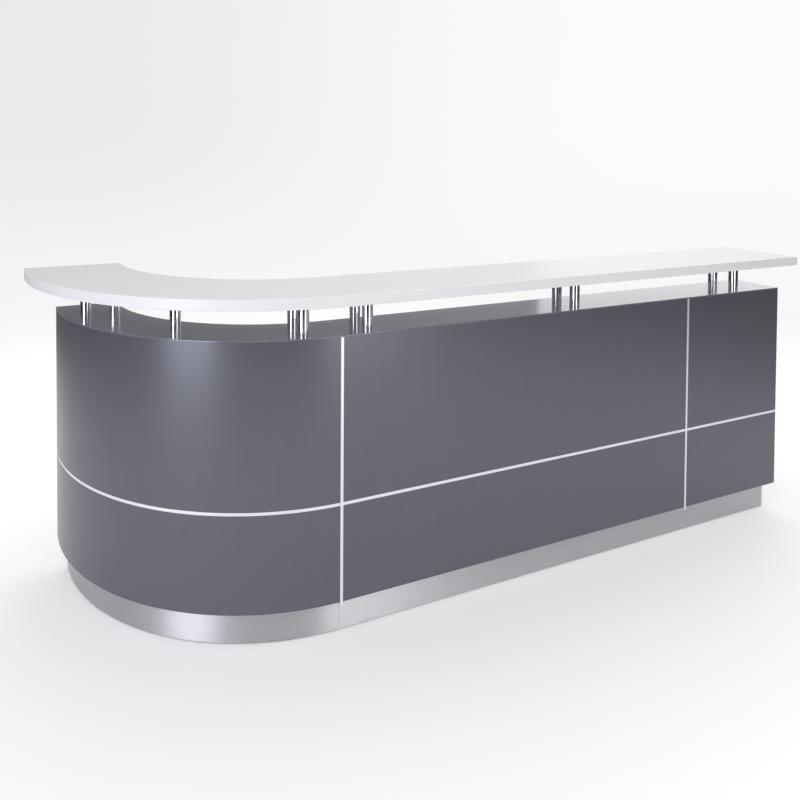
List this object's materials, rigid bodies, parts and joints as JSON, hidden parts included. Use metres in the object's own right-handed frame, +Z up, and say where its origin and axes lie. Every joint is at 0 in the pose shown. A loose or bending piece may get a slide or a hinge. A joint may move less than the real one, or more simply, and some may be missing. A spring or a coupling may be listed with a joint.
{
  "type": "checkout counter",
  "caption": "Long checkout counter with a quarter-round left corner, recessed steel kickplate, raised white top on chrome posts, and a staff desk with drawers behind.",
  "frame": {"origin": "on the floor, under the middle of the counter's box", "axes": "+X along the straight front, seen from the customer's side towards the right; +Y from the customer to the staff; +Z up"},
  "size_m": [3.05, 0.95, 1.15],
  "materials": {
    "laminate_grey": "satin laminate on board",
    "aluminium_strip": "satin anodised",
    "brushed_kickplate": "brushed along its length",
    "ledge_gloss": "high gloss on board",
    "top_white": "white high gloss on board",
    "desk_white": "white satin laminate on board",
    "board_grey": "satin laminate on board",
    "carcass_board": "plain melamine board",
    "chrome": "polished chrome plate",
    "tray_enamel": "light grey powder coat",
    "zinc_steel": "bright zinc plate",
    "nylon": "moulded nylon",
    "grommet_plastic": "moulded, fine grain"
  },
  "bodies": {
    "counter": {"base_board_curved": "carcass_board", "base_board_straight": "carcass_board", "cable_grommets": "grommet_plastic", "fixed_runners": "zinc_steel", "front_panel_curved_lower": "laminate_grey", "front_panel_curved_upper": "laminate_grey", "front_panel_end_lower": "laminate_grey", "front_panel_end_upper": "laminate_grey", "front_panel_main_lower": "laminate_grey", "front_panel_main_upper": "laminate_grey", "glides": "nylon", "inner_panel_curved": "board_grey", "inner_panel_straight": "board_grey", "joint_connectors": "zinc_steel", "kickplate_curved": "brushed_kickplate", "kickplate_left_end": "brushed_kickplate", "kickplate_right_end": "brushed_kickplate", "kickplate_straight": "brushed_kickplate", "ledge_board_curved": "board_grey", "ledge_board_straight": "board_grey", "ledge_sheet_curved": "ledge_gloss", "ledge_sheet_straight": "ledge_gloss", "left_end_cap": "board_grey", "module_side_boards": "carcass_board", "pedestal_bottom": "board_grey", "pedestal_side": "board_grey", "pedestal_toe_board": "board_grey", "plinth_curved_front": "carcass_board", "plinth_curved_rear": "carcass_board", "plinth_left_end": "carcass_board", "plinth_right_end": "carcass_board", "plinth_straight_front": "carcass_board", "plinth_straight_rear": "carcass_board", "post_nuts": "zinc_steel", "post_studs": "zinc_steel", "posts": "chrome", "right_gable": "board_grey", "strip_curved": "aluminium_strip", "strip_end": "aluminium_strip", "strip_end_bay": "aluminium_strip", "strip_joint": "aluminium_strip", "strip_main": "aluminium_strip", "top": "top_white", "wall_ribs": "carcass_board", "worktop_curved": "desk_white", "worktop_straight": "desk_white", "worktop_support": "board_grey"},
    "top_drawer": {"top_drawer_front": "laminate_grey", "top_drawer_tray": "tray_enamel", "top_drawer_handle": "chrome", "top_drawer_runners": "zinc_steel"},
    "middle_drawer": {"middle_drawer_front": "laminate_grey", "middle_drawer_tray": "tray_enamel", "middle_drawer_handle": "chrome", "middle_drawer_runners": "zinc_steel"},
    "file_drawer": {"file_drawer_front": "laminate_grey", "file_drawer_tray": "tray_enamel", "file_drawer_handle": "chrome", "file_drawer_runners": "zinc_steel"},
    "lock": {"lock_plug": "chrome"}
  },
  "joints": [
    {"name": "top_drawer_slide", "type": "slide", "parent": "counter", "child": "top_drawer", "axis": [0, 1, 0], "range_m": [0, 0.375]},
    {"name": "middle_drawer_slide", "type": "slide", "parent": "counter", "child": "middle_drawer", "axis": [0, 1, 0], "range_m": [0, 0.375]},
    {"name": "file_drawer_slide", "type": "slide", "parent": "counter", "child": "file_drawer", "axis": [0, 1, 0], "range_m": [0, 0.375]},
    {"name": "lock_turn", "type": "hinge", "parent": "top_drawer", "child": "lock", "pos_m": [1.458, 0.435, 0.6975], "axis": [0, 1, 0], "range_deg": [0, 90]}
  ]
}
